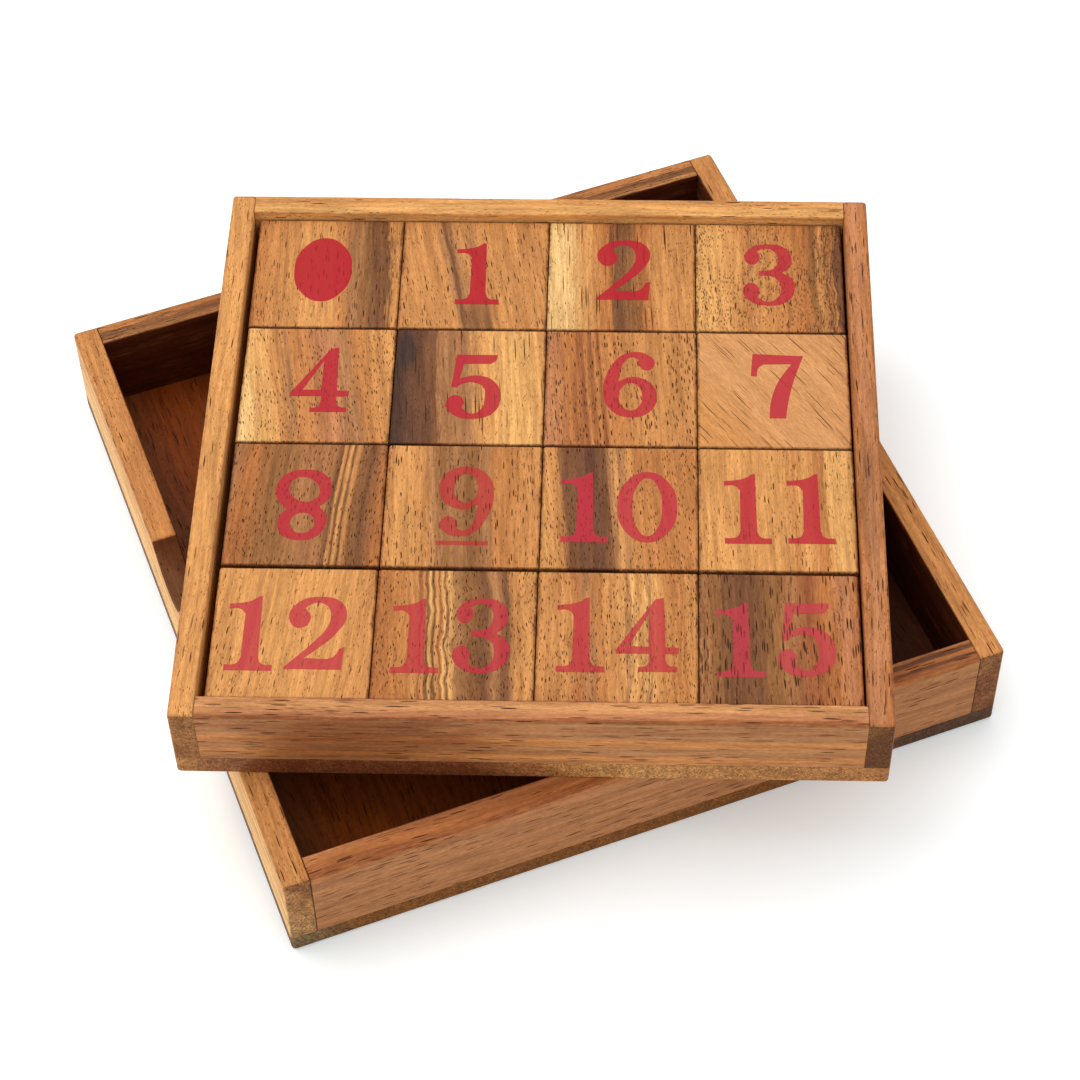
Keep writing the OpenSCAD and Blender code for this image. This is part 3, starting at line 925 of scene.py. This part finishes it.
# %% Print the tiles
PRINTS = {
    "tile_dot": (0.03, 0, [("dot", -1.0, 1.0)]),
    "tile_1": (0.04, 0, [("1", 0.75, 0.3)]),
    "tile_2": (0.06, 0, [("2", 0.3, 1.8)]),
    "tile_3": (0.10, 0.2, [("3", -0.2, 0.8)]),
    "tile_4": (0.06, 0.1, [("4", 0.7, 1.4)]),
    "tile_5": (0.06, 0.18, [("5", 1.1, -0.1)]),
    "tile_6": (0.10, 0.22, [("6", 1.9, 1.0)]),
    "tile_7": (0.06, 0.3, [("7", 0.9, 1.0)]),
    "tile_8": (0.12, 0.2, [("8", -0.6, -0.3)]),
    "tile_9": (0.28, 0.1, [("9", 0.7, 1.1), ("bar", 0.3, -9.7)]),
    "tile_10": (0.12, 0.38, [("1", -7.2, 0.0), ("0", 5.6, 0.2)]),
    "tile_11": (0.08, 0.2, [("1", -6.0, 0.1), ("1", 6.8, 0.3)]),
    "tile_12": (0.14, 0.45, [("1", -8.15, -0.35), ("2", 4.7, -0.1)]),
    "tile_13": (0.2, 0.3, [("1", -7.6, -0.4), ("3", 5.3, -0.2)]),
    "tile_14": (0.18, 0.3, [("1", -7.2, 0.4), ("4", 5.9, 0.6)]),
    "tile_15": (0.3, 0.62, [("1", -7.8, -0.3), ("5", 5.1, -0.1)]),
}
INK = 0.02


def print_on(node, wear, fading, figures):
    """Printed figures of one tile, as one thin piece with the tile's own axes."""
    middle, turn, size, seed = places[node]
    curve = bpy.data.curves.new(node + "_print", "CURVE")
    curve.dimensions = "2D"
    curve.fill_mode = "BOTH"
    curve.resolution_u = 6
    curve.extrude = INK * MM
    for label, dx, dy in figures:
        rings = FIGURES[label]
        xs = [p[0] for p in rings[0]]
        ys = [p[1] for p in rings[0]]
        shift_x = dx - (min(xs) + max(xs)) / 2
        shift_y = dy - (min(ys) + max(ys)) / 2
        for ring in rings:
            spline = curve.splines.new("BEZIER")
            spline.bezier_points.add(len(ring) - 1)
            spline.use_cyclic_u = True
            for point, (x, y, *mark) in zip(spline.bezier_points, ring):
                point.co = ((x + shift_x) * MM, (y + shift_y) * MM, 0.0)
                point.handle_left_type = "AUTO" if mark else "VECTOR"
                point.handle_right_type = "AUTO" if mark else "VECTOR"
    drawn = bpy.data.objects.new("drawing", curve)
    bpy.context.scene.collection.objects.link(drawn)
    bpy.context.view_layer.update()
    mesh = bpy.data.meshes.new_from_object(drawn.evaluated_get(bpy.context.evaluated_depsgraph_get()))
    bpy.data.objects.remove(drawn)
    lift = (size.z / 2 + INK / 2) * MM
    for vertex in mesh.vertices:
        vertex.co.z += lift
    mesh.name = node + "_print"
    mesh.materials.clear()
    mesh.materials.append(plank(node + "_ink", seed=seed, ink=(wear, fading), **TILES[node]))
    piece = bpy.data.objects.new(node + "_print", mesh)
    piece.location = middle
    piece.rotation_euler = (0.0, 0.0, turn)
    bpy.context.scene.collection.objects.link(piece)
    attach(piece, node)
    return len(mesh.vertices)


printed = [print_on(node, *how) for node, how in PRINTS.items()]
print("prints:", len(printed), "points:", sum(printed))

# %% [markdown]
# ## Floor, light and air
# The puzzle lies on a plain white table in a bright room. A wide soft light from behind on the left
# makes the gentle shade on the front faces, and a white surrounding fills the rest. The table glows a
# little of its own, so that it comes out as pure white as a table does when a camera is set for wood.

# %% Floor
floor_mesh = bpy.data.meshes.new("floor")
reach = 6.0
corners = [(-reach, -reach, 0), (reach, -reach, 0), (reach, reach, 0), (-reach, reach, 0)]
floor_mesh.from_pydata(corners, [], [(0, 1, 2, 3)])
floor = bpy.data.objects.new("floor", floor_mesh)
floor.location = (0.0, 0.0, -0.0002)
bpy.context.scene.collection.objects.link(floor)
white = bpy.data.materials.new("white_table")
white.use_nodes = True
table = white.node_tree.nodes["Principled BSDF"]
table.inputs["Base Color"].default_value = (0.97, 0.97, 0.97, 1.0)
table.inputs["Roughness"].default_value = 0.9
table.inputs["Specular IOR Level"].default_value = 0.0
table.inputs["Emission Color"].default_value = (0.80, 1.0, 1.0, 1.0)
table.inputs["Emission Strength"].default_value = 0.18
floor_mesh.materials.append(white)

# %% [markdown]
# The window is one square area light, turned to face the puzzle. The world adds an even white sky. The
# plain Standard view keeps the named wood tones as they are, where a film-like one would dull them.

# %% Lights


def soft_light(name, spot, aim, side, watts):
    """Square area light that faces a point."""
    lamp = bpy.data.lights.new(name, "AREA")
    lamp.shape = "SQUARE"
    lamp.size = side
    lamp.energy = watts
    light = bpy.data.objects.new(name, lamp)
    light.location = spot
    light.rotation_euler = (Vector(aim) - Vector(spot)).to_track_quat("-Z", "Y").to_euler()
    bpy.context.scene.collection.objects.link(light)


soft_light("window", (-0.45, 0.5, 1.3), (0, 0, 0), 1.2, 8.0)
world = bpy.data.worlds.new("white_room")
world.use_nodes = True
air = world.node_tree.nodes["Background"]
air.inputs["Color"].default_value = (1.0, 1.0, 1.0, 1.0)
air.inputs["Strength"].default_value = 0.92
bpy.context.scene.world = world
bpy.context.scene.view_settings.view_transform = "Standard"
print("floor, one window light and a white room")
